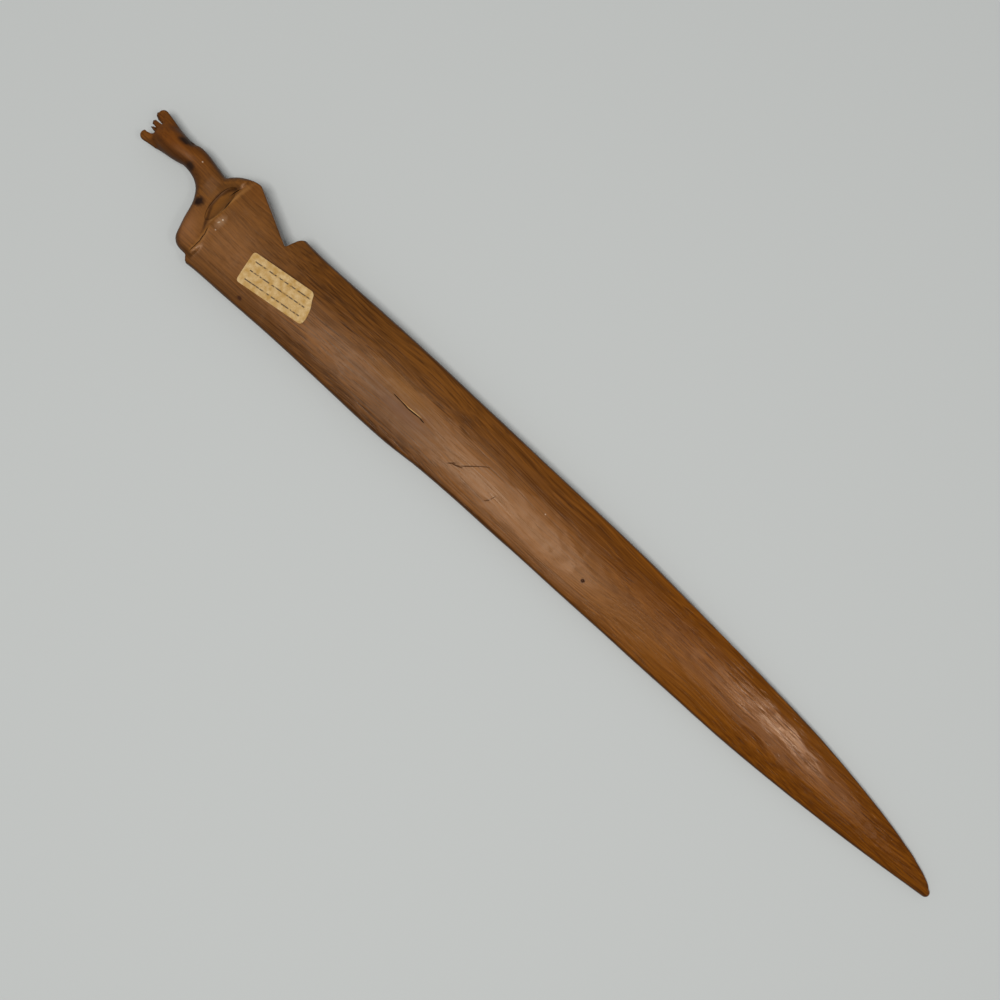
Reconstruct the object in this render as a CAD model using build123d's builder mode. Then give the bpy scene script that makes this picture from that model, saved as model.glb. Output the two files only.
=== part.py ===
from build123d import *
import os
from math import cos, pi, radians, sin, tan

# A letter opener carved from one stick of wood. The flat blade tapers to a blunt point, and the handle is
# a giraffe lying across the top of the blade with its neck raised. A gummed paper label is stuck on the
# plain back.
#
# The opener lies as it is put down on a desk, carved side under and plain back up, and rests on the flat
# of the giraffe's flank and on the tip. X runs from the ears to the tip, Y across the blade from the rump
# to the chest, and Z up. The origin is on the desk, below the middle of the opener.

# Lengths along the stick
OVERALL_LENGTH = 289.4
HANDLE_LENGTH = 31.4  # from the ear tips to the ledge where the full thickness of the grip begins

# Grip, the widest stretch of the blade, next to the ledge
GRIP_THICKNESS = 6.4
GRIP_EDGE = 3.0  # thickness that is left at the rounded edges
GRIP_LIFT = 4.2  # height of the front of the grip above the desk
GRIP_LEFT = 14.25
GRIP_RIGHT = 11.5
HIP_LEFT = 12.85
HIP_FROM_LEDGE = 42.0

# Blade
BLADE_LEFT = 11.1
BLADE_RIGHT = 12.3
WAIST_START = 63.0  # from the ledge to where the left edge begins to draw in
WAIST_LENGTH = 32.0
SWELL_LENGTH = 50.0  # over which the right edge swells from the grip to the blade
THINNING = 1.3  # over 1, the blade keeps its thickness longer before it thins to the tip

# Point, with the left edge straighter than the right
LEFT_POINT_Y = 9.7
LEFT_POINT_LENGTH = 78.5
LEFT_POINT_BEND = 1.6
RIGHT_POINT_LENGTH = 123.5
RIGHT_POINT_BEND = 2.0
RIGHT_POINT_BLUNTNESS = 0.65
TIP_RADIUS = 1.3
TIP_Y = -2.0

# Chest, the notch below it and the shoulders of the blade
CHEST_Y = 14.2
CHEST_FROM_LEDGE = 2.3
CHEST_ROUNDING = 1.4
CHEST_BULGE = 0.9  # of the line from the withers to the chest
NOTCH_Y = 6.8
NOTCH_FROM_LEDGE = 17.7
STEP_FROM_LEDGE = 19.0
SHOULDER_ROUNDING = 2.2  # depth to which the shoulders of the blade are cut back
LEFT_SHOULDER_RADIUS = 5.5
RIGHT_SHOULDER_RADIUS = 8.8

# Neck, withers, back and rump, cut to an outline and rounded over
NECK_FRONT = 2.4  # height of their front above the desk
NECK_ROUNDING = 1.9
NECK_WIDTH = 6.1
NECK_Y = 7.75
NECK_FROM_HEAD = 14.8
WITHERS_Y = 9.4
WITHERS_BEFORE_LEDGE = 6.3
WITHERS_ROUNDING = 1.2
BACK_Y = -4.0
BACK_BEFORE_LEDGE = 7.2
RUMP_Y = -12.3
RUMP_BEFORE_LEDGE = 4.9
RUMP_ROUNDING = 3.8

# Hollow that runs down the back of the neck into a sloping bevel below the ledge
BEVEL_ANGLE = 32.0
BEVEL_LENGTH = 6.5
HOLLOW_FLOOR = 7.7  # heights above the desk
HOLLOW_RIM = 9.8
HOLLOW_WIDTH = 15.0
HOLLOW_Y = 2.2
HOLLOW_LEAN = 17.0  # angle to the blade at which the neck leans
RUMP_FALL = 6.0  # angle at which the back of the rump falls away from the hollow

# Head, ears and horns
HEAD_Y = 6.8
HEAD_Z = 5.6
HEAD_WIDTH = 7.4
HEAD_DEPTH = 6.4
HEAD_FROM_HEAD_END = 7.0
JAW_Y = 7.1
JAW_WIDTH = 5.9
JAW_FROM_HEAD_END = 12.6
POLL_FROM_HEAD_END = 3.0
POLL_WIDTH = 5.6
POLL_DEPTH = 3.0
EAR_LENGTH = 9.6
EAR_WIDTH = 3.0
EAR_DEPTH = 2.4
EAR_ROUNDING = 1.0
EAR_SPREAD = 5.7
EAR_SPLAY = 11.0
HORN_LENGTH = 4.0
HORN_RADIUS = 0.5
HORN_SPACING = 1.5
HORN_FROM_HEAD_END = 1.1
MUZZLE_LENGTH = 9.6
MUZZLE_WIDTH = 4.2
MUZZLE_FROM_HEAD_END = 10.0
MUZZLE_Z = 3.3
MUZZLE_DIP = 24.0

# Flank and folded legs on the carved side; leg points are (from the ledge, across)
FLANK_WIDTH = 26.0
FLANK_DEPTH = 7.0
FLANK_FROM_LEDGE = 7.4
FLANK_Y = -0.6
FLANK_FLAT = 0.6  # depth by which the flank is cut flat where it rests
HAUNCH_RADIUS = 7.4
HAUNCH_Z = 0.3  # height of its lowest point
LEG_RADIUS = 1.8
LEG_Z = 2.2
THIGH_RISE = 0.6
HAUNCH = (6.4, -5.8)
HIND_KNEE = (15.0, -0.5)
HIND_HOOF = (18.0, -9.5)
SHOULDER = (4.5, 7.4)
FORE_KNEE = (15.4, 5.0)
FORE_HOOF = (18.4, -1.0)

# Gummed label
LABEL_LENGTH = 20.0
LABEL_WIDTH = 9.0
LABEL_THICKNESS = 0.12
LABEL_CORNER = 0.7
LABEL_FROM_LEDGE = 23.7
LABEL_Y = -2.4
LABEL_TURN = 8.6

# Places along X that the sizes above give
HEAD_END = -OVERALL_LENGTH / 2
LEDGE_X = HEAD_END + HANDLE_LENGTH
TIP_X = OVERALL_LENGTH / 2 - TIP_RADIUS

STATIONS = 32  # sections that the blade is lofted through, closer together towards the tip
CUT_HEIGHT = 4 * (GRIP_LIFT + GRIP_THICKNESS)  # more than the opener is thick
INSIDE = 5.0  # length that a form runs on into its neighbour
SUNK = 0.6  # share of its size to which a form shrinks there
ROUND_LIMIT = 0.42  # share of a wall that a rounding may take


def share(x, start, end):
    """How far x is from start to end, from 0 to 1."""
    return min(max((x - start) / (end - start), 0), 1)


def ease(x, start, end):
    """The same, leaving 0 and reaching 1 with no slope."""
    way = share(x, start, end)
    return way * way * (3 - 2 * way)


def left_edge(x):
    """Y of the blade's left edge: a swell at the grip, a drawn-in waist, a slight taper and the point."""
    waist = LEDGE_X + WAIST_START
    taper = waist + WAIST_LENGTH
    point = TIP_X - LEFT_POINT_LENGTH
    tip = TIP_RADIUS - TIP_Y
    width = HIP_LEFT + (GRIP_LEFT - HIP_LEFT) * (1 - share(x, LEDGE_X, LEDGE_X + HIP_FROM_LEDGE)) ** 2
    width += (BLADE_LEFT - HIP_LEFT) * ease(x, waist, taper)
    width += (LEFT_POINT_Y - BLADE_LEFT) * share(x, taper, point)
    return -tip - (width - tip) * (1 - share(x, point, TIP_X) ** LEFT_POINT_BEND)


def right_edge(x):
    """Y of the blade's right edge: room for the chest, a slight swell, and the rounder point."""
    step = LEDGE_X + STEP_FROM_LEDGE
    tip = TIP_Y + TIP_RADIUS
    width = GRIP_RIGHT + (CHEST_Y + CHEST_ROUNDING - GRIP_RIGHT) * (1 - share(x, LEDGE_X, step))
    width += (BLADE_RIGHT - GRIP_RIGHT) * ease(x, step, step + SWELL_LENGTH)
    along = share(x, TIP_X - RIGHT_POINT_LENGTH, TIP_X)
    return tip + (width - tip) * (1 - along**RIGHT_POINT_BEND) ** RIGHT_POINT_BLUNTNESS


def thickness(x, grip):
    """Full thickness at x, thinning from grip at the ledge to the round tip."""
    return grip + (2 * TIP_RADIUS - grip) * share(x, LEDGE_X, TIP_X) ** THINNING


def middle_height(x):
    """Height above the desk of the middle of the blade's thickness."""
    return GRIP_LIFT * (1 - share(x, LEDGE_X, TIP_X)) + thickness(x, GRIP_THICKNESS) / 2


def half_edge(x):
    """Half the height of the rounded edges, which make a full circle at the tip."""
    return thickness(x, GRIP_EDGE / sin(pi / 4)) / 2 * sin(pi / 4)


def back_corner(x, side):
    """Point of the section at x where the back meets the left (-1) or the right (1) edge."""
    edge = left_edge(x) if side < 0 else right_edge(x)
    return (edge - side * half_edge(x) * tan(pi / 8), middle_height(x) + half_edge(x))


def back_crown(x):
    """Highest point of the section at x."""
    return ((left_edge(x) + right_edge(x)) / 2, middle_height(x) + thickness(x, GRIP_THICKNESS) / 2)


def four_arcs(middle, half_width, half_depth, inset, half_side):
    """Draws an oval of four arcs, which meet at inset from its sides and half_side above and below."""
    across, up = middle
    right = half_width - inset
    corners = [(right, half_side), (right, -half_side), (-right, -half_side), (-right, half_side)]
    between = [(half_width, 0), (0, -half_depth), (-half_width, 0), (0, half_depth)]
    for i in range(4):
        start, through, end = (
            (across + y, up + z) for y, z in (corners[i], between[i], corners[(i + 1) % 4])
        )
        ThreePointArc(start, through, end)


# Blade: crowned on both faces, with rounded edges, from the ledge to the tip
with BuildPart() as blade:
    for station in range(STATIONS + 1):
        section_x = LEDGE_X + (TIP_X - LEDGE_X) * sin(pi / 2 * station / STATIONS)
        section_y = (left_edge(section_x) + right_edge(section_x)) / 2
        side_height = half_edge(section_x)
        with BuildSketch(Plane.YZ.offset(section_x)):
            with BuildLine():
                four_arcs(
                    (section_y, middle_height(section_x)),
                    right_edge(section_x) - section_y,
                    thickness(section_x, GRIP_THICKNESS) / 2,
                    side_height * tan(pi / 8),
                    side_height,
                )
            make_face()
    loft()
    with BuildSketch(Plane.XZ.offset(-TIP_Y)):
        with BuildLine():
            tip_axis = Line((TIP_X, TIP_RADIUS), (TIP_X + TIP_RADIUS, TIP_RADIUS))
            tip_arc = CenterArc((TIP_X, TIP_RADIUS), TIP_RADIUS, 0, 90)
            Line(tip_arc @ 1, tip_axis @ 0)
        make_face()
    revolve(axis=Axis((TIP_X, TIP_Y, TIP_RADIUS), (1, 0, 0)))

# Flank: a domed relief on the front of the grip, cut flat where it rests on the desk
dome_radius = ((FLANK_WIDTH / 2) ** 2 + FLANK_DEPTH**2) / (2 * FLANK_DEPTH)
flank_x = LEDGE_X + FLANK_FROM_LEDGE
with BuildPart() as flank:
    with Locations((flank_x, FLANK_Y, dome_radius - FLANK_FLAT)):
        Sphere(dome_radius)
    split(bisect_by=Plane.XY.offset(FLANK_DEPTH - FLANK_FLAT), keep=Keep.BOTTOM)
    split(bisect_by=Plane.XY, keep=Keep.TOP)

# Haunch and shoulder: two smaller domes that swell from the flank where the legs begin
with BuildPart() as haunches:
    for from_ledge, across in (HAUNCH, SHOULDER):
        with Locations((LEDGE_X + from_ledge, across, HAUNCH_Z + HAUNCH_RADIUS)):
            Sphere(HAUNCH_RADIUS)
    split(bisect_by=Plane.XY.offset(middle_height(LEDGE_X)), keep=Keep.BOTTOM)


def leg(start, end, rise):
    """A round-ended bar between two (from the ledge, across) points, with its start higher by rise."""
    high = Vector(LEDGE_X + start[0], start[1], LEG_Z + rise)
    low = Vector(LEDGE_X + end[0], end[1], LEG_Z)
    bar = Plane(origin=(high + low) / 2, x_dir=low - high, z_dir=(low - high).cross(Vector(0, 0, 1)))
    with BuildPart() as limb:
        with BuildSketch(bar):
            SlotCenterToCenter((low - high).length, 2 * LEG_RADIUS)
            split(bisect_by=Plane.XZ)
        revolve(axis=Axis(bar.origin, bar.x_dir))
    return limb.part


# Legs folded under the body, thighs and shanks
legs = [
    leg(HAUNCH, HIND_KNEE, THIGH_RISE),
    leg(HIND_KNEE, HIND_HOOF, 0),
    leg(SHOULDER, FORE_KNEE, THIGH_RISE),
    leg(FORE_KNEE, FORE_HOOF, 0),
]

# Outline of the chest, the notch and the two shoulders of the blade
withers = (LEDGE_X - WITHERS_BEFORE_LEDGE, WITHERS_Y)
chest = (LEDGE_X + CHEST_FROM_LEDGE, CHEST_Y)
chest_line = SagittaArc(withers, chest, CHEST_BULGE)
notch = (LEDGE_X + NOTCH_FROM_LEDGE, NOTCH_Y)
step_top = (LEDGE_X + STEP_FROM_LEDGE, GRIP_RIGHT - SHOULDER_ROUNDING / 2)
shoulder = (LEDGE_X, SHOULDER_ROUNDING - GRIP_LEFT)
right_out = (step_top[0] + SHOULDER_ROUNDING, CHEST_Y + INSIDE)
left_out = (LEDGE_X + 2 * SHOULDER_ROUNDING, -GRIP_LEFT - SHOULDER_ROUNDING / 2)
with BuildPart() as outline_cut:
    with BuildSketch() as right_cut:
        with BuildLine():
            add(chest_line)
            Polyline(chest, notch, step_top)
            RadiusArc(step_top, right_out, -RIGHT_SHOULDER_RADIUS)
            Polyline(right_out, (withers[0], right_out[1]), withers)
        make_face()
        fillet(right_cut.vertices().sort_by_distance((*chest, 0))[0], radius=CHEST_ROUNDING)
    with BuildSketch():
        with BuildLine():
            RadiusArc(shoulder, left_out, -LEFT_SHOULDER_RADIUS)
            Polyline(left_out, (LEDGE_X - INSIDE, left_out[1]), (LEDGE_X - INSIDE, shoulder[1]), shoulder)
        make_face()
    extrude(amount=CUT_HEIGHT)

# Neck, withers, back and rump: one outline through the stick, with a hollow down the neck and round rims
neck_left = (HEAD_END + NECK_FROM_HEAD, NECK_Y - NECK_WIDTH / 2)
neck_right = (HEAD_END + NECK_FROM_HEAD, NECK_Y + NECK_WIDTH / 2)
back = (LEDGE_X - BACK_BEFORE_LEDGE, BACK_Y)
rump = (LEDGE_X - RUMP_BEFORE_LEDGE, RUMP_Y)
under = LEDGE_X + INSIDE
to_ledge = WITHERS_BEFORE_LEDGE / (WITHERS_BEFORE_LEDGE + CHEST_FROM_LEDGE)  # share of the line to the chest
with BuildSketch() as neck_outline:
    with BuildLine():
        Polyline((under, 0), (LEDGE_X + SHOULDER_ROUNDING, RUMP_Y), rump, back)
        Spline(back, neck_left, tangents=(Vector(*back) - Vector(*rump), (-1, 0)))
        ThreePointArc(neck_left, (neck_left[0] - NECK_WIDTH / 2, NECK_Y), neck_right)
        Spline(neck_right, withers, tangents=((1, 0), (1, 0)))
        ThreePointArc(withers, chest_line @ (to_ledge / 2), chest_line @ to_ledge)
        Line(chest_line @ to_ledge, (under, 0))
    make_face()
    fillet(neck_outline.vertices().sort_by_distance((*rump, 0))[0], radius=RUMP_ROUNDING)
    fillet(neck_outline.vertices().sort_by_distance((*withers, 0))[0], radius=WITHERS_ROUNDING)
with BuildPart() as neck:
    with BuildSketch(Plane.XY.offset(NECK_FRONT)):
        add(neck_outline.sketch)
    extrude(amount=CUT_HEIGHT / 2)
    lean = tan(radians(HOLLOW_LEAN))
    hollow_y = HOLLOW_Y - INSIDE * lean
    left_rim = (hollow_y - HOLLOW_WIDTH / 2, HOLLOW_RIM)
    right_rim = (hollow_y + HOLLOW_WIDTH / 2, HOLLOW_RIM)
    rump_slope = Vector(cos(radians(RUMP_FALL)), sin(radians(RUMP_FALL)))
    rump_out = Vector(*left_rim) - rump_slope * GRIP_LEFT
    chest_out = Vector(*right_rim) + Vector(GRIP_RIGHT, 0)
    with BuildSketch(Plane.YZ.offset(under)):
        with BuildLine():
            Spline(
                (rump_out, left_rim, (hollow_y, HOLLOW_FLOOR), right_rim, chest_out),
                tangents=(rump_slope, (1, 0)),
            )
            Polyline(chest_out, (chest_out.X, CUT_HEIGHT), (rump_out.X, CUT_HEIGHT), rump_out)
        make_face()
    extrude(amount=HANDLE_LENGTH + INSIDE, dir=(-1, lean, 0), mode=Mode.SUBTRACT)
    rounding = min(NECK_ROUNDING, ROUND_LIMIT * NECK_WIDTH)
    fillet(neck.faces().sort_by(Axis.Z)[0].edges(), radius=rounding)
    fillet(neck.faces().sort_by(Axis.Z)[-1].edges(), radius=rounding)

# Bevel: the back of the grip slides down and towards the head, so that the ledge follows its crown
with BuildPart() as bevel:
    with BuildSketch(Plane.YZ.offset(LEDGE_X)):
        with BuildLine():
            ledge = ThreePointArc(back_corner(LEDGE_X, -1), back_crown(LEDGE_X), back_corner(LEDGE_X, 1))
            low = middle_height(LEDGE_X)
            Polyline(ledge @ 1, ((ledge @ 1).X, low), ((ledge @ 0).X, low), ledge @ 0)
        make_face()
    extrude(amount=BEVEL_LENGTH, dir=(-1, 0, -tan(radians(BEVEL_ANGLE))))
    with BuildSketch():
        add(neck_outline.sketch)
    extrude(amount=CUT_HEIGHT, mode=Mode.INTERSECT)

# Head: widens from the neck to the ears, then closes to the poll between them
with BuildPart() as head:
    for from_end, across, width, depth in (
        (NECK_FROM_HEAD + INSIDE / 2, NECK_Y, SUNK * NECK_WIDTH, SUNK * HEAD_DEPTH),
        (JAW_FROM_HEAD_END, JAW_Y, JAW_WIDTH, HEAD_DEPTH),
        (HEAD_FROM_HEAD_END, HEAD_Y, HEAD_WIDTH, HEAD_DEPTH),
        (POLL_FROM_HEAD_END, HEAD_Y, POLL_WIDTH, POLL_DEPTH),
    ):
        with BuildSketch(Plane.YZ.offset(HEAD_END + from_end)):
            with BuildLine():
                round_in = width / 2 * (1 - cos(pi / 4))
                four_arcs((across, HEAD_Z), width / 2, depth / 2, round_in, depth / 2 * sin(pi / 4))
            make_face()
    loft()

# Muzzle, which dips away from the neck on the carved side
muzzle_plane = Plane((HEAD_END + MUZZLE_FROM_HEAD_END, HEAD_Y, MUZZLE_Z)).rotated((0, MUZZLE_DIP, 0))
with BuildPart() as muzzle:
    with BuildSketch(muzzle_plane):
        Ellipse(MUZZLE_LENGTH / 2, MUZZLE_WIDTH / 2)
        split(bisect_by=Plane.XZ)
    revolve(axis=Axis(muzzle_plane.origin, muzzle_plane.x_dir))


def ear(side):
    """A round-ended ear on the left (-1) or the right (1), splayed outwards."""
    root = Plane((HEAD_END + EAR_LENGTH / 2, HEAD_Y + side * EAR_SPREAD / 2, HEAD_Z))
    with BuildPart() as leaf:
        with BuildSketch(root.offset(-EAR_DEPTH / 2).rotated((0, 0, -side * EAR_SPLAY))):
            SlotOverall(EAR_LENGTH, EAR_WIDTH)
        extrude(amount=EAR_DEPTH)
        rims = leaf.faces().filter_by(Axis.Z).edges()
        fillet(rims, radius=min(EAR_ROUNDING, ROUND_LIMIT * EAR_DEPTH, ROUND_LIMIT * EAR_WIDTH))
    return leaf.part


# Horn: a short peg with round ends
with BuildPart() as horn:
    with BuildSketch():
        SlotOverall(HORN_LENGTH, 2 * HORN_RADIUS)
        split(bisect_by=Plane.XZ)
    revolve(axis=Axis.X)
horn_x = HEAD_END + HORN_FROM_HEAD_END + HORN_LENGTH / 2

# Carving: all the forms are one piece of wood
ears = [ear(-1), ear(1)]
horns = [Pos(horn_x, HEAD_Y + side * HORN_SPACING / 2, HEAD_Z) * horn.part for side in (-1, 1)]
with BuildPart() as carving:
    add([blade.part, flank.part, haunches.part])
    add(legs)
    add(outline_cut.part, mode=Mode.SUBTRACT)
    add([neck.part, bevel.part, head.part, muzzle.part])
    add(ears + horns)
carving.part.label = "wooden_carving"

# Label: paper bent over the crown of the grip
with BuildPart() as label:
    with BuildSketch():
        with Locations(Location((LEDGE_X + LABEL_FROM_LEDGE, LABEL_Y), LABEL_TURN)):
            RectangleRounded(LABEL_LENGTH, LABEL_WIDTH, LABEL_CORNER)
    extrude(amount=CUT_HEIGHT)
    add(Pos(0, 0, LABEL_THICKNESS) * blade.part, mode=Mode.INTERSECT)
    add(blade.part, mode=Mode.SUBTRACT)
label.part.label = "paper_label"

os.makedirs("parts", exist_ok=True)
for piece in (carving, label):
    export_step(piece.part, f"parts/{piece.part.label}.step")
    print(piece.part.label, piece.part.is_valid, piece.part.volume, piece.part.bounding_box())
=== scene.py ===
from math import atan2, degrees, hypot, radians

import bpy
from mathutils import Matrix, Vector


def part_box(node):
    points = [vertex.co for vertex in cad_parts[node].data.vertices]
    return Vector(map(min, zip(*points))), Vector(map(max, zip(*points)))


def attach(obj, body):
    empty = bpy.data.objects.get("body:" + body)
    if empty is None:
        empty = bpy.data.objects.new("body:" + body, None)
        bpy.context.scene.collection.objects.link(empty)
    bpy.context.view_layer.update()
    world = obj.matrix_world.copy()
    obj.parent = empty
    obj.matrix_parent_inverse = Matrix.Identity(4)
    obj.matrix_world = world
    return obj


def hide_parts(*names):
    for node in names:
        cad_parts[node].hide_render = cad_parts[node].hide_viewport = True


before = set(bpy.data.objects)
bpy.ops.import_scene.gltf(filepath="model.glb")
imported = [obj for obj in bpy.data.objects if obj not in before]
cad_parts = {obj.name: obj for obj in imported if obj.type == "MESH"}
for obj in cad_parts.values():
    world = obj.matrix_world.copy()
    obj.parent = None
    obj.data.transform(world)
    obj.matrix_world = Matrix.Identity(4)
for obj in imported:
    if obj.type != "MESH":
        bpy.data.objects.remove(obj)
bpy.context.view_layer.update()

# Carved wood
# Blade, giraffe and horns are one stick of close-grained reddish-brown hardwood, sawn to an outline,
# whittled with a knife and rubbed with wax. The solid gives the shape, and a copy of it takes the knife's
# softer turns, the slits of ears and horns, and the small cuts and cracks. Sizes are in millimetres.
MM = 0.001
HANDLE_LENGTH = 31.34  # from the ear tips to the ledge behind the neck
FACE_SIZE = 0.22  # of the even faces that the copy is first divided into
KEPT_FACES = 0.25  # share of them that is kept, most of them where the shape turns
FULLER = 0.5  # by which the neck is filled out again
LEANER = 0.5  # by which one edge is pared away where the blade starts to narrow
UNEVEN_SPACING = 22  # between the slow rises and dips that a knife leaves
UNEVEN_HEIGHT = 0.2
CLOSE = 0.002  # distance within which two corners of the solid's triangles are one
wood_low, wood_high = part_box("wooden_carving")
head_end = wood_low.x / MM
ledge_x = head_end + HANDLE_LENGTH


def pick(piece):
    """Makes a piece the only one selected, so that an operator acts on it alone."""
    bpy.ops.object.select_all(action="DESELECT")
    piece.select_set(True)
    bpy.context.view_layer.objects.active = piece


def work(piece, kind, **settings):
    """Adds a modifier of that kind to a piece and applies it."""
    modifier = piece.modifiers.new(kind.lower(), kind)
    for name, value in settings.items():
        setattr(modifier, name, value)
    pick(piece)
    bpy.ops.object.modifier_apply(modifier=modifier.name)


def weigh(piece, name, weight):
    """Gives each point of a piece a weight from its place and normal, for a modifier to act by."""
    group = piece.vertex_groups.new(name=name)
    for point in piece.data.vertices:
        group.add([point.index], weight(point.co / MM, point.normal), "REPLACE")


def ramp(value, start, end):
    """0 before start, 1 after end and a straight slope between them."""
    return min(max((value - start) / (end - start), 0), 1)


def softness(spot, normal):
    """1 where the knife left soft turns: the neck, and the relief on the front."""
    neck = ramp(ledge_x - spot.x, 5, 9) * ramp(spot.x - head_end, 5, 9)
    relief = ramp(6 - spot.z, 0, 1) * ramp(ledge_x + 30 - spot.x, 0, 4) * ramp(spot.x - head_end, 5, 9)
    return max(neck, relief)


def flatness(spot, normal):
    """1 on the back of head and neck, which is one flat sweep inside its rim."""
    return ramp(normal.z, 0.3, 0.5) * ramp(ledge_x - spot.x, 8, 12)


def fullness(spot, normal):
    """1 on the hollow side of the neck and less on its other side, where smoothing took too much."""
    neck = ramp(ledge_x - spot.x, 6, 9) * ramp(spot.x - head_end, 6, 17)
    return neck * ramp(spot.z, 1, 2.5) * (0.75 - 0.25 * normal.y)


def leanness(spot, normal):
    """1 halfway along the stretch of the edge that is pared away, falling to 0 at its ends."""
    stretch = ramp(spot.x - ledge_x, 138, 172) * ramp(ledge_x + 208 - spot.x, 0, 32)
    return stretch * ramp(normal.y, 0.3, 0.7)


pick(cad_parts["wooden_carving"])
bpy.ops.object.duplicate()
carving = bpy.context.active_object
carving.name = "giraffe_letter_opener"
bpy.ops.object.mode_set(mode="EDIT")
bpy.ops.mesh.select_all(action="SELECT")
bpy.ops.mesh.remove_doubles(threshold=CLOSE * MM)
bpy.ops.object.mode_set(mode="OBJECT")
work(carving, "REMESH", mode="VOXEL", voxel_size=FACE_SIZE * MM)
weigh(carving, "whittled", softness)
work(carving, "SMOOTH", factor=0.5, iterations=3)
work(carving, "SMOOTH", factor=0.5, iterations=40, vertex_group="whittled")
weigh(carving, "flat", flatness)
work(carving, "SMOOTH", factor=0.9, iterations=220, use_x=False, use_y=False, vertex_group="flat")
weigh(carving, "full", fullness)
work(carving, "DISPLACE", strength=FULLER * MM, mid_level=0, vertex_group="full")
weigh(carving, "lean", leanness)
work(carving, "DISPLACE", strength=-LEANER * MM, mid_level=0, vertex_group="lean")
unevenness = bpy.data.textures.new("unevenness", "CLOUDS")
unevenness.noise_scale = UNEVEN_SPACING * MM
work(
    carving,
    "DISPLACE",
    texture=unevenness,
    texture_coords="LOCAL",
    strength=UNEVEN_HEIGHT * MM,
    mid_level=0.5,
)
work(carving, "DECIMATE", ratio=KEPT_FACES)
work(carving, "SMOOTH", factor=0.5, iterations=3)

# Cuts on the back: (start, end, width, depth), where start and end are (from the ledge, across).
CRACK = [
    ((64.2, -1.75), (67.2, -1.9), 0.22, 0.4),
    ((66.6, -1.85), (70.0, -2.05), 0.28, 0.5),
    ((69.2, -2.1), (73.6, -1.72), 0.34, 0.5),
    ((73.2, -1.75), (75.2, -1.95), 0.28, 0.4),
]
SCRATCHES = [
    ((86.5, -5.6), (88.4, -3.75), 0.34, 0.16),
    ((87.6, -4.75), (90.4, -3.65), 0.38, 0.18),
    ((89.4, -3.9), (93.5, -0.2), 0.3, 0.16),
    ((92.8, -0.7), (95.6, 1.4), 0.22, 0.1),
    ((100.2, -6.3), (101.4, -4.6), 0.3, 0.1),
    ((101.0, -5.1), (101.9, -2.8), 0.18, 0.07),
]
OVERCUT = [((-0.3, 3.1), (-0.55, 5.8), 0.34, 0.7), ((-1.75, 6.9), (-0.75, 9.7), 0.3, 0.6)]
# Fine cuts along the ledge, and a pit in the blade.
NICKS = [
    ((0.1, -3.2), (0.75, -5.4), 0.24, 0.3),
    ((0.55, -5.1), (0.8, -7.2), 0.3, 0.35),
    ((0.85, -6.9), (0.7, -8.8), 0.26, 0.3),
    ((0.8, -8.5), (0.5, -11.0), 0.24, 0.3),
    ((132.9, -3.75), (133.9, -3.65), 0.9, 0.3),  # pit of a pin knot
]
# Eyes and nostrils on the front, cut in the same way.
FACE_CUTS = [
    ((-25.6, 4.3), (-24.0, 4.9), 1.1, 0.5),
    ((-25.6, 9.3), (-24.0, 8.7), 1.1, 0.5),
    ((-19.1, 5.7), (-18.3, 6.0), 0.5, 0.3),
    ((-19.1, 7.7), (-18.3, 7.4), 0.5, 0.3),
]
# Horns, and the slits that part them from the ears: (start, end, width, half height).
HEAD_HEIGHT = 5.6  # of the middle of the head above the desk
HORNS = [
    ((-31.1, 7.5), (-24.5, 7.4), 3.0, 0.9),
    ((-30.5, 5.95), (-25.5, 6.25), 0.8, 0.8),
    ((-31.7, 9.75), (-25.0, 9.4), 2.8, 0.9),  # inner half of the right ear
    ((-31.0, 3.0), (-23.8, 3.5), 1.9, 0.9),  # outer half of the left ear
    ((-22.4, 9.4), (-15.2, 9.9), 1.6, 1.4),  # bend of the neck below the right ear
]
SLITS = [
    ((-34.0, 8.2), (-28.1, 8.36), 0.46, 9),
    ((-33.8, 5.1), (-28.5, 5.0), 1.7, 9),
    ((-31.6, 6.5), (-29.2, 6.62), 0.4, 9),
]
# Facet that a gouge left below the ledge: (from the ledge, across), length and width on the slope, depth.
GOUGE_PLACE = (-2.2, 3.6)
GOUGE_SIZE = (5.4, 11.6, 1.5)
GOUGE_SLOPE = 32.0  # degrees
GOUGE_SIDES = 48


def on_wood(spot, face=1):
    """Point of the wood's back (1) or front (-1) at a spot given from the ledge and across."""
    above = ((ledge_x + spot[0]) * MM, spot[1] * MM, face)
    return carving.ray_cast(above, (0, 0, -face))[1]


def spindle(place, size, turn, tilt=0, sides=12):
    """A pointed oval of that length, width and height in millimetres, to cut with or to add."""
    rings = sides // 2
    bpy.ops.mesh.primitive_uv_sphere_add(segments=sides, ring_count=rings, radius=MM / 2, location=place)
    made = bpy.context.active_object
    made.scale = size
    made.rotation_euler = (0, -tilt, turn)
    bpy.ops.object.transform_apply(location=True, rotation=True, scale=True)
    return made


def along_line(start, end, width, height, place):
    """A spindle that runs from start to end, at that place."""
    run, rise = end[0] - start[0], end[1] - start[1]
    return spindle(place, (hypot(run, rise), width, 2 * height), atan2(rise, run))


def middle(start, end):
    """Point halfway between two others."""
    return [(a + b) / 2 for a, b in zip(start, end)]


def in_head(start, end):
    """Point at half the thickness of the head, halfway between start and end."""
    from_ledge, across = middle(start, end)
    return ((ledge_x + from_ledge) * MM, across * MM, HEAD_HEIGHT * MM)


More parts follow.
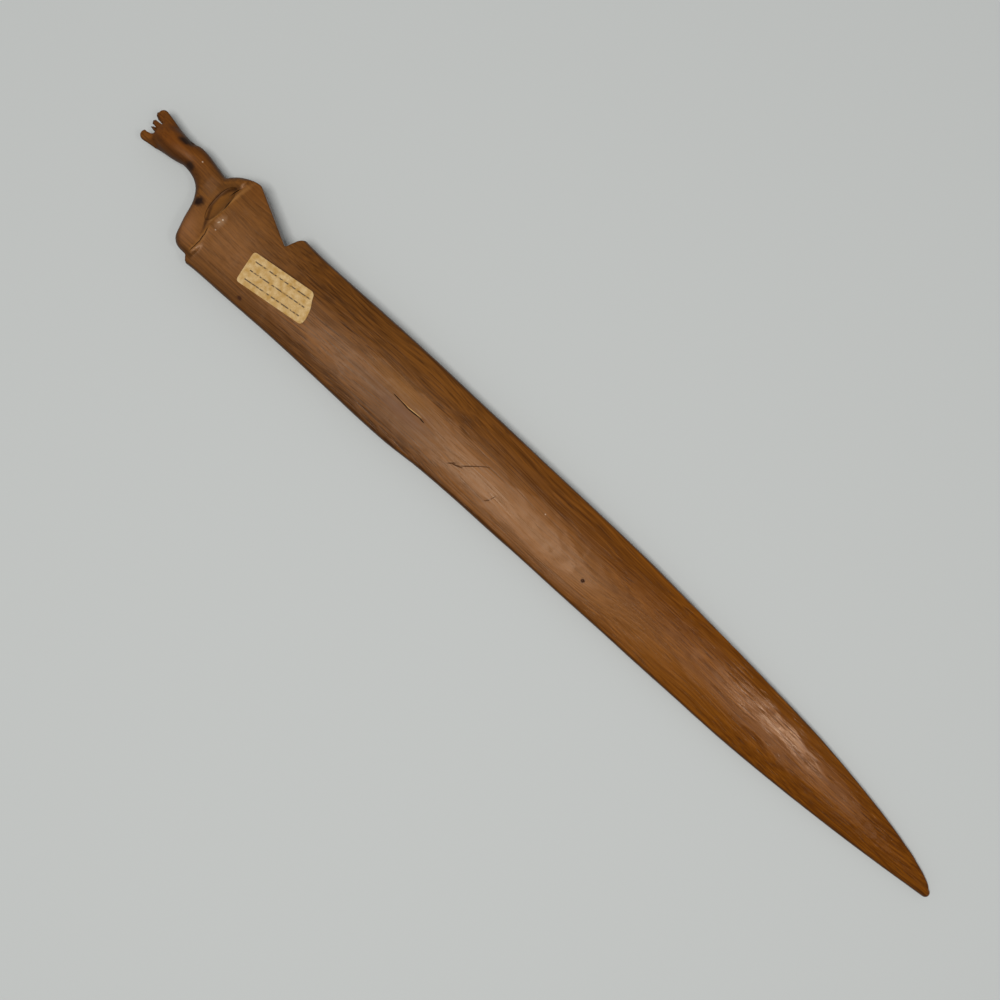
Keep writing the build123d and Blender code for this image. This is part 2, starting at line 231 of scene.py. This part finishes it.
def combine(pieces, operation):
    """Adds pieces to the carving or cuts them out of it, all at once."""
    group = bpy.data.collections.new("shapes")
    for piece in pieces:
        bpy.context.collection.objects.unlink(piece)
        group.objects.link(piece)
    work(
        carving,
        "BOOLEAN",
        operation=operation,
        operand_type="COLLECTION",
        collection=group,
        solver="MANIFOLD",
    )
    for piece in pieces:
        bpy.data.objects.remove(piece)
    bpy.data.collections.remove(group)


combine([along_line(*horn, in_head(*horn[:2])) for horn in HORNS], "UNION")
cuts = [along_line(*slit, in_head(*slit[:2])) for slit in SLITS]
cuts += [along_line(*mark, on_wood(middle(*mark[:2]))) for mark in CRACK + SCRATCHES + OVERCUT + NICKS]
cuts += [along_line(*mark, on_wood(middle(*mark[:2]), -1)) for mark in FACE_CUTS]
cuts.append(spindle(on_wood(GOUGE_PLACE), GOUGE_SIZE, 0, radians(GOUGE_SLOPE), GOUGE_SIDES))
combine(cuts, "DIFFERENCE")
pick(carving)
bpy.ops.object.shade_smooth_by_angle(angle=radians(40))


def linear(colour):
    """Linear RGBA of an sRGB hex colour such as "#6b3c0e"."""
    parts = [int(colour[i : i + 2], 16) / 255 for i in (1, 3, 5)]
    return [c / 12.92 if c <= 0.04045 else ((c + 0.055) / 1.055) ** 2.4 for c in parts] + [1]


def node(tree, kind, inputs, **settings):
    """Adds a node with its settings. An input is a value or the socket that feeds it."""
    made = tree.nodes.new("ShaderNode" + kind)
    for name, value in settings.items():
        setattr(made, name, value)
    for name, value in inputs.items():
        if isinstance(value, bpy.types.NodeSocket):
            tree.links.new(value, made.inputs[name])
        else:
            made.inputs[name].default_value = value
    return made.outputs


# Waxed hardwood, hand-polished: long fine streaks along the stick, dark pores, a satin gloss that follows
# the streaks, a greyer handled end and a golden point.
waxed_wood = bpy.data.materials.new("waxed_reddish_hardwood")
waxed_wood.use_nodes = True
tree = waxed_wood.node_tree
shader = tree.nodes["Principled BSDF"]
place = node(tree, "TexCoord", {})
spot = node(tree, "VectorMath", {0: place["Object"], "Scale": 1 / MM}, operation="SCALE")["Vector"]
along = node(tree, "SeparateXYZ", {"Vector": spot})["X"]
leaning, facing = node(tree, "SeparateXYZ", {"Vector": place["Normal"]})[1:3]
on_back = node(tree, "MapRange", {"Value": facing, "From Min": -0.1, "From Max": 0.2})["Result"]

# The grain wanders by a few millimetres over the length. Bands are about 4 mm wide, streaks 0.4 mm and
# fibres 0.26 mm, which is drawn a little coarser than the real fibres so that it shows.
slow = node(tree, "Mapping", {"Vector": spot, "Scale": (0.012, 0.05, 0.05)})["Vector"]
wander = node(tree, "TexNoise", {"Vector": slow, "Scale": 1.0, "Detail": 2.0})["Color"]
bent = node(tree, "VectorMath", {0: wander, 1: (0, 9, 7), 2: spot}, operation="MULTIPLY_ADD")["Vector"]


def grain(width, length, detail):
    """A noise stretched along the stick, in cells of that width and length."""
    cells = node(tree, "Mapping", {"Vector": bent, "Scale": (1 / length, 1 / width, 1 / width)})["Vector"]
    noise = {"Vector": cells, "Scale": 1.0, "Detail": detail, "Roughness": 0.55}
    return node(tree, "TexNoise", noise)["Fac"]


bands = grain(4.0, 90.0, 2.0)
streaks = grain(0.42, 30.0, 2.0)
fibres = grain(0.26, 11.0, 2.0)
tone = node(tree, "Math", {0: bands, 1: 0.24}, operation="MULTIPLY")[0]
tone = node(tree, "Math", {0: streaks, 1: 0.46, 2: tone}, operation="MULTIPLY_ADD")[0]
tone = node(tree, "Math", {0: fibres, 1: 0.30, 2: tone}, operation="MULTIPLY_ADD")[0]
pale = node(tree, "MapRange", {"Value": tone, "From Min": 0.39, "From Max": 0.61})["Result"]
grip_wood = node(tree, "Mix", {0: pale, 6: linear("#46270b"), 7: linear("#764614")}, data_type="RGBA")[2]
point_wood = node(tree, "Mix", {0: pale, 6: linear("#582c02"), 7: linear("#804808")}, data_type="RGBA")[2]
to_point = node(tree, "MapRange", {"Value": along, "From Min": -50.0, "From Max": 50.0})["Result"]
wood = node(tree, "Mix", {0: to_point, 6: grip_wood, 7: point_wood}, data_type="RGBA")[2]
pores = node(tree, "MapRange", {"Value": grain(0.3, 8.0, 1.0), "From Min": 0.6, "From Max": 0.7})["Result"]
pores = node(tree, "Math", {0: pores, 1: 0.55}, operation="MULTIPLY")[0]
wood = node(tree, "Mix", {0: pores, 6: wood, 7: linear("#331907")}, data_type="RGBA")[2]

# Marks: (from the ledge, across, length, width, turn in degrees, colour, share), each an oval with a soft
# rim.
TINTS = [
    (-23.0, 7.2, 18.0, 9.0, 0.0, "#7a3f0a", 0.5),
    # Painted sheen: pale pinkish-brown on the chest before the ledge, where the surface catches the
    # overhead lamp.
    (-4.2, -5.5, 5.5, 9.0, 0.0, "#8a5b3a", 0.6),
    (-2.3, 3.4, 4.6, 12.5, 0.0, "#8a5618", 0.6),
    (3.5, 12.0, 6.0, 4.0, 0.0, "#7a4510", 0.5),
    (7.0, -1.0, 26.0, 26.0, 0.0, "#8c5d33", 0.4),
    (68.0, -3.8, 20.0, 6.0, 2.0, "#4c3020", 0.5),
    (69.5, -3.6, 11.0, 2.6, 2.0, "#6a4a3e", 0.4),
    (66.5, 0.8, 16.0, 3.6, 0.0, "#87571f", 0.5),
    (75.2, -0.9, 2.4, 1.4, 30.0, "#5a3014", 0.6),
    # Lighter golden strip down the middle of the blade: partly lighter wood, partly painted warm sheen
    # where the overhead lamp's reflection lies.
    (116.0, -3.0, 80.0, 9.0, -1.0, "#8f5c22", 0.35),
    # Painted highlight: a pale smear around the glints at the ledge.
    (1.6, 0.2, 1.6, 2.6, 0.0, "#a98a6c", 0.4),
]
SPOTS = [
    (-20.3, 9.4, 3.6, 2.0, 20.0, "#21100a", 1.0),
    (-15.3, 5.2, 2.6, 2.2, 0.0, "#21100a", 1.0),
    (-6.9, 0.2, 2.6, 2.5, 30.0, "#21100a", 1.0),
    (133.4, -3.7, 1.2, 1.0, 0.0, "#391a0a", 1.0),
    (18.1, -11.0, 1.4, 1.0, 0.0, "#391a0a", 1.0),
    # The pale spots below are painted glints, highlights on small glossy drops.
    (1.68, 0.86, 0.4, 0.35, 0.0, "#d9c3a8", 0.8),
    (1.33, -0.28, 0.7, 0.3, 60.0, "#d9c3a8", 0.5),
    (1.99, -2.3, 0.35, 0.3, 0.0, "#d9c3a8", 0.5),
    (-13.3, 8.3, 0.4, 0.3, 0.0, "#d9c3a8", 0.6),
    (114.4, 2.3, 0.35, 0.3, 0.0, "#d9c3a8", 0.6),
]
# Lines: (start, end, width, colour, share). The ledge's edge is worn pale and also carries a painted
# highlight, the gouge's rim carries painted shade where its wall faces away from the light, the crack has a
# pale splinter beside it, and old gum shows along the label, with a painted shadow of the paper along its
# top edge.
LINES = [
    # Pale ledge edge: partly worn wood, partly painted highlight along the ridge.
    ((-0.6, -1.6), (0.0, 7.6), 0.75, "#a87640", 0.75),
    ((-0.5, 4.0), (0.7, 12.8), 1.1, "#966635", 0.6),
    # Painted shade along the gouge's rim, where its wall faces away from the light.
    ((-1.0, 9.8), (-3.5, 7.2), 0.9, "#33190a", 0.65),
    ((-2.9, 8.0), (-4.5, 4.4), 1.0, "#33190a", 0.65),
    ((-4.4, 5.4), (-4.1, 1.2), 1.0, "#33190a", 0.65),
    ((-4.3, 2.2), (-2.6, -1.0), 1.0, "#33190a", 0.65),
    ((-2.9, -0.3), (-0.6, -4.2), 0.9, "#33190a", 0.65),
    ((0.0, -3.0), (0.72, -5.1), 1.1, "#8a5a26", 0.7),
    ((0.6, -4.7), (0.8, -8.7), 1.2, "#8a5a26", 0.7),
    ((0.75, -8.3), (0.55, -11.0), 1.1, "#8a5a26", 0.7),
    ((66.8, -1.6), (69.9, -1.76), 0.2, "#a5753c", 0.8),
    ((69.4, -1.76), (73.5, -1.5), 0.24, "#cda367", 0.9),
    ((14.6, -8.4), (34.6, -5.4), 0.55, "#6e4512", 0.6),
    # Dark line along the label's top edge: partly old gum, partly painted shadow of the paper's edge.
    ((13.2, 0.7), (33.2, 3.7), 0.5, "#3a1e08", 0.6),
]
RAGGED = 0.9  # how far the rim of a mark wanders, as a share of its size
SCORCH_SPACING = 5.0  # between the scorched spots on the front
SCORCH_END = 12.0  # from the ledge
ragged = node(tree, "TexNoise", {"Vector": spot, "Scale": 1.1, "Detail": 3.0})["Fac"]


def oval(from_ledge, across, length, width, turn, rim):
    """A mask that is 1 inside an oval on the back and 0 outside, with a rim that wide."""
    centre = (ledge_x + from_ledge, across, 0)
    moved = node(tree, "VectorMath", {0: spot, 1: centre}, operation="SUBTRACT")[0]
    turning = {"Vector": moved, "Angle": radians(-turn)}
    turned = node(tree, "VectorRotate", turning, rotation_type="Z_AXIS")[0]
    sized = node(tree, "VectorMath", {0: turned, 1: (2 / length, 2 / width, 0)}, operation="MULTIPLY")[0]
    reach = node(tree, "VectorMath", {0: sized}, operation="LENGTH")["Value"]
    uneven = node(tree, "Math", {0: ragged, 1: RAGGED, 2: reach}, operation="MULTIPLY_ADD")[0]
    limit = 1 + RAGGED / 2
    inside = {"Value": uneven, "From Min": limit + rim, "From Max": limit - rim}
    inside = node(tree, "MapRange", inside)["Result"]
    return node(tree, "Math", {0: inside, 1: on_back}, operation="MULTIPLY")[0]


def stroke(start, end, width, rim):
    """The same mask for a stroke from start to end."""
    run, rise = end[0] - start[0], end[1] - start[1]
    return oval(*middle(start, end), hypot(run, rise), width, degrees(atan2(rise, run)), rim)


def paint(mask, colour, share):
    """The wood with that share of a colour laid over it where the mask is."""
    strength = node(tree, "Math", {0: mask, 1: share}, operation="MULTIPLY")[0]
    return node(tree, "Mix", {0: strength, 6: wood, 7: linear(colour)}, data_type="RGBA")[2]


for *mark, colour, share in TINTS:
    wood = paint(oval(*mark, rim=0.9), colour, share)
for *line, colour, share in LINES:
    wood = paint(stroke(*line, rim=0.5), colour, share)
for *mark, colour, share in SPOTS:
    wood = paint(oval(*mark, rim=0.4), colour, share)
# Painted shade: the crack, slits, scratches, nicks and the knot's pit are darkened inside, as the shade in
# their grooves.
for start, end, width, _ in CRACK + OVERCUT:
    wood = paint(stroke(start, end, width * 1.1, rim=0.4), "#241208", 1)
for start, end, width, _ in SCRATCHES + NICKS:
    wood = paint(stroke(start, end, width * 1.4, rim=0.6), "#452612", 0.6)
# The front of the giraffe is dotted with scorched spots, of which those on the back are the ends.
cells = node(tree, "TexVoronoi", {"Vector": spot, "Scale": 1 / SCORCH_SPACING})["Distance"]
scorched = node(tree, "MapRange", {"Value": cells, "From Min": 0.42, "From Max": 0.3})["Result"]
on_front = node(tree, "MapRange", {"Value": facing, "From Min": -0.2, "From Max": -0.5})["Result"]
scorch_end = ledge_x + SCORCH_END
on_giraffe = {"Value": along, "From Min": scorch_end + 2.0, "From Max": scorch_end - 2.0}
on_giraffe = node(tree, "MapRange", on_giraffe)["Result"]
for limit in (on_front, on_giraffe):
    scorched = node(tree, "Math", {0: scorched, 1: limit}, operation="MULTIPLY")[0]
wood = paint(scorched, "#2a140a", 0.85)
# Painted shade: the sides, which face away from the lamps, are darker than back and front, and one long
# edge is darker still.
flatwise = node(tree, "Math", {0: facing}, operation="ABSOLUTE")[0]
side = node(tree, "MapRange", {"Value": flatwise, "From Min": 0.95, "From Max": 0.5})["Result"]
wood = paint(side, "#2a1506", 0.65)
painted_edge_shade = node(tree, "MapRange", {"Value": leaning, "From Min": -0.14, "From Max": -0.32})["Result"]
wood = paint(painted_edge_shade, "#2a1506", 0.4)
tree.links.new(wood, shader.inputs["Base Color"])
gloss = {"Value": streaks, "From Min": 0.3, "From Max": 0.7, "To Min": 0.25, "To Max": 0.39}
gloss = node(tree, "MapRange", gloss)["Result"]
# It is dry around the crack, smoother towards the point and dry on the giraffe.
dry_crack = {"Value": oval(68.0, -3.8, 24.0, 8.0, 2.0, rim=0.9), "To Min": 1.0, "To Max": 1.4}
smooth_point = {"Value": along, "From Min": -20.0, "From Max": 80.0, "To Min": 1.0, "To Max": 0.42}
dry_giraffe = {"Value": along, "From Min": ledge_x - 4.0, "From Max": ledge_x, "To Min": 1.5, "To Max": 1.0}
for change in (dry_crack, smooth_point, dry_giraffe):
    factor = node(tree, "MapRange", change)["Result"]
    gloss = node(tree, "Math", {0: gloss, 1: factor}, operation="MULTIPLY")[0]
tree.links.new(gloss, shader.inputs["Roughness"])
relief = node(tree, "Math", {0: pores, 1: -0.8, 2: streaks}, operation="MULTIPLY_ADD")[0]
bump = node(tree, "Bump", {"Height": relief, "Strength": 0.2, "Distance": 0.12 * MM})["Normal"]
tree.links.new(bump, shader.inputs["Normal"])
shader.inputs["IOR"].default_value = 1.5
shader.inputs["Specular IOR Level"].default_value = 0.26
shader.inputs["Specular Tint"].default_value = linear("#ffd8b6")

carving.data.materials.clear()
carving.data.materials.append(waxed_wood)
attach(carving, "root")
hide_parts("wooden_carving")

# Gummed label
# A small slip of gold-brown paper, cut with round corners and stuck askew on the back of the grip. One
# corner is torn away and its edge has begun to curl.
LABEL_SIZE = (20.4, 8.8)
LABEL_PLACE = (23.9, -2.35)  # from the ledge and across
LABEL_TURN = 8.6  # degrees
LABEL_CORNER = 0.8
PAPER = 0.12  # thickness
GLUE = 0.02
# How far the right edge is torn back, from its bottom to its top.
TORN_BACK = (0.1, -0.15, -0.25, -0.05, 0.1, 0.45, 1.15, 1.35, 1.8)
CURL = 0.45  # height to which the torn corner stands up
CURL_REACH = 1.6
DIVISIONS = 0.45  # spacing of the cuts that let the paper bend
half_length, half_width = (side / 2 for side in LABEL_SIZE)
bpy.ops.object.select_all(action="DESELECT")
bpy.ops.mesh.primitive_plane_add(size=MM)
label = bpy.context.active_object
label.name = "gummed_label"
label.scale = (*LABEL_SIZE, 1)
bpy.ops.object.transform_apply(scale=True)
bpy.ops.object.mode_set(mode="EDIT")
bpy.ops.mesh.select_mode(type="EDGE")
bpy.ops.mesh.select_all(action="DESELECT")
bpy.ops.object.mode_set(mode="OBJECT")
for edge in label.data.edges:
    ends = [label.data.vertices[i].co.x / MM for i in edge.vertices]
    edge.select = min(ends) > half_length / 2
bpy.ops.object.mode_set(mode="EDIT")
bpy.ops.mesh.subdivide(number_cuts=len(TORN_BACK) - 2)
bpy.ops.object.mode_set(mode="OBJECT")
for point in label.data.vertices:
    if point.co.x > half_length / 2 * MM:
        height = (point.co.y / MM + half_width) / LABEL_SIZE[1]
        point.co.x -= TORN_BACK[round(height * (len(TORN_BACK) - 1))] * MM
    point.select = abs(point.co.y) > (half_width - 0.01) * MM and not (point.co.x > 0 and point.co.y > 0)
bpy.ops.object.mode_set(mode="EDIT")
bpy.ops.mesh.select_mode(type="VERT")
bpy.ops.mesh.bevel(offset=LABEL_CORNER * MM, segments=4, affect="VERTICES")
for axis, half in ((0, half_length), (1, half_width)):
    across = [1 - axis, axis, 0]
    for step in range(1, int(2 * half / DIVISIONS)):
        cut = (step * DIVISIONS - half) * MM
        bpy.ops.mesh.select_all(action="SELECT")
        bpy.ops.mesh.bisect(plane_co=[cut * way for way in across], plane_no=across)
bpy.ops.object.mode_set(mode="OBJECT")


def curl(spot, normal):
    """1 at the torn corner, falling to 0 at the curl's reach."""
    corner = Vector((half_length - TORN_BACK[-1], half_width, 0))
    return ramp((corner - spot).length, CURL_REACH, 0) ** 2


weigh(label, "curl", curl)
label.rotation_euler.z = radians(LABEL_TURN)
label.location = ((ledge_x + LABEL_PLACE[0]) * MM, LABEL_PLACE[1] * MM, wood_high.z + 10 * MM)
bpy.ops.object.transform_apply(location=True, rotation=True)
work(
    label,
    "SHRINKWRAP",
    target=carving,
    wrap_method="PROJECT",
    use_project_z=True,
    use_positive_direction=False,
    use_negative_direction=True,
    offset=GLUE * MM,
)
work(label, "DISPLACE", direction="Z", strength=CURL * MM, mid_level=0, vertex_group="curl")
work(label, "SOLIDIFY", thickness=PAPER * MM, offset=1)

# Aged gummed paper: matt, tan with a gold tinge, mottled in soft patches and speckled with fine fibres.
aged_paper = bpy.data.materials.new("aged_gummed_paper")
aged_paper.use_nodes = True
tree = aged_paper.node_tree
shader = tree.nodes["Principled BSDF"]
place = node(tree, "TexCoord", {})
spot = node(tree, "VectorMath", {0: place["Object"], "Scale": 1 / MM}, operation="SCALE")["Vector"]
patches = node(tree, "TexNoise", {"Vector": spot, "Scale": 0.6, "Detail": 4.0})["Fac"]
patches = node(tree, "MapRange", {"Value": patches, "From Min": 0.35, "From Max": 0.65})["Result"]
paper = node(tree, "Mix", {0: patches, 6: linear("#b98f4a"), 7: linear("#d3b27c")}, data_type="RGBA")[2]
specks = node(tree, "TexNoise", {"Vector": spot, "Scale": 3.2, "Detail": 4.0, "Roughness": 0.75})["Fac"]
specks = {"Value": specks, "From Min": 0.5, "From Max": 0.75, "To Max": 0.6}
specks = node(tree, "MapRange", specks)["Result"]
paper = node(tree, "Mix", {0: specks, 6: paper, 7: linear("#9c7638")}, data_type="RGBA")[2]

# Three plain ruled lines, worn thin in places, lie across the slip at these heights on the paper.
RULES = (2.4, -0.2, -2.8)
RULE_LENGTH = 17.0
RULE_WIDTH = 0.36
centre = (ledge_x + LABEL_PLACE[0], LABEL_PLACE[1], 0)
moved = node(tree, "VectorMath", {0: spot, 1: centre}, operation="SUBTRACT")[0]
turning = {"Vector": moved, "Angle": radians(-LABEL_TURN)}
turned = node(tree, "VectorRotate", turning, rotation_type="Z_AXIS")[0]
on_paper = node(tree, "SeparateXYZ", {"Vector": turned})
worn = node(tree, "TexNoise", {"Vector": spot, "Scale": 1.2, "Detail": 3.0})["Fac"]
worn = node(tree, "MapRange", {"Value": worn, "From Min": 0.36, "From Max": 0.5, "To Max": 0.85})["Result"]
reach = node(tree, "Math", {0: on_paper["X"], 1: 0.0, 2: RULE_LENGTH / 2}, operation="COMPARE")[0]
inked = node(tree, "Math", {0: worn, 1: reach}, operation="MULTIPLY")[0]
for height in RULES:
    row = node(tree, "Math", {0: on_paper["Y"], 1: height, 2: RULE_WIDTH / 2}, operation="COMPARE")[0]
    ink = node(tree, "Math", {0: row, 1: inked}, operation="MULTIPLY")[0]
    paper = node(tree, "Mix", {0: ink, 6: paper, 7: linear("#3a2a18")}, data_type="RGBA")[2]
tree.links.new(paper, shader.inputs["Base Color"])
bump = node(tree, "Bump", {"Height": specks, "Strength": 0.4, "Distance": 0.05 * MM})["Normal"]
tree.links.new(bump, shader.inputs["Normal"])
shader.inputs["Roughness"].default_value = 0.75
shader.inputs["IOR"].default_value = 1.45
label.data.materials.append(aged_paper)
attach(label, "root")
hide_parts("paper_label")

# Floor, light and camera
# A pale floor and three soft lamps: one overhead, whose sheen lies along the middle of the blade, a weaker
# one towards the point, and a small one that draws the narrow streak there.
FLOOR_SIZE = 4.0
bpy.ops.object.select_all(action="DESELECT")
bpy.ops.mesh.primitive_plane_add(size=FLOOR_SIZE, location=(0, 0, 0))
floor = bpy.context.active_object
floor.name = "floor"
pale_sheet = bpy.data.materials.new("pale_floor")
pale_sheet.use_nodes = True
pale_sheet.node_tree.nodes["Principled BSDF"].inputs["Base Color"].default_value = linear("#c7c9c6")
pale_sheet.node_tree.nodes["Principled BSDF"].inputs["Roughness"].default_value = 0.8
floor.data.materials.append(pale_sheet)

VIEW_TURN = 43.1  # degrees that the picture is turned about the vertical
VIEW_CENTRE = (-10.1, -3.05)
VIEW_HEIGHT = 320
LENS = 43.2
bpy.ops.object.camera_add(
    location=(VIEW_CENTRE[0] * MM, VIEW_CENTRE[1] * MM, VIEW_HEIGHT * MM),
    rotation=(0, 0, radians(VIEW_TURN)),
)
camera = bpy.context.active_object
camera.data.lens = LENS
camera.data.clip_start = 0.01
bpy.context.scene.camera = camera

world = bpy.data.worlds.new("studio")
world.use_nodes = True
world.node_tree.nodes["Background"].inputs["Color"].default_value = linear("#e9ebee")
world.node_tree.nodes["Background"].inputs["Strength"].default_value = 0.32
bpy.context.scene.world = world
turn = Matrix.Rotation(radians(VIEW_TURN), 3, "Z")


def lamp(name, right, up, height, width, length, watts):
    """A soft rectangular lamp, placed by the picture's right and up and aimed at the object."""
    aim = Vector((right, up, height)).to_track_quat("Z", "Y").to_matrix()
    bpy.ops.object.light_add(type="AREA", location=turn @ Vector((right, up, height)))
    made = bpy.context.active_object
    made.name = name
    made.rotation_euler = (turn @ aim).to_euler()
    made.data.shape = "RECTANGLE"
    made.data.size = length
    made.data.size_y = width
    made.data.energy = watts


lamp("overhead_softbox", -0.13, -0.09, 1.0, 0.34, 0.34, 6.0)
lamp("side_softbox", 0.35, -0.26, 1.0, 0.3, 0.3, 0.8)
lamp("small_lamp", 0.425, -0.225, 1.0, 0.05, 0.05, 0.46)
bpy.context.scene.view_settings.view_transform = "Standard"
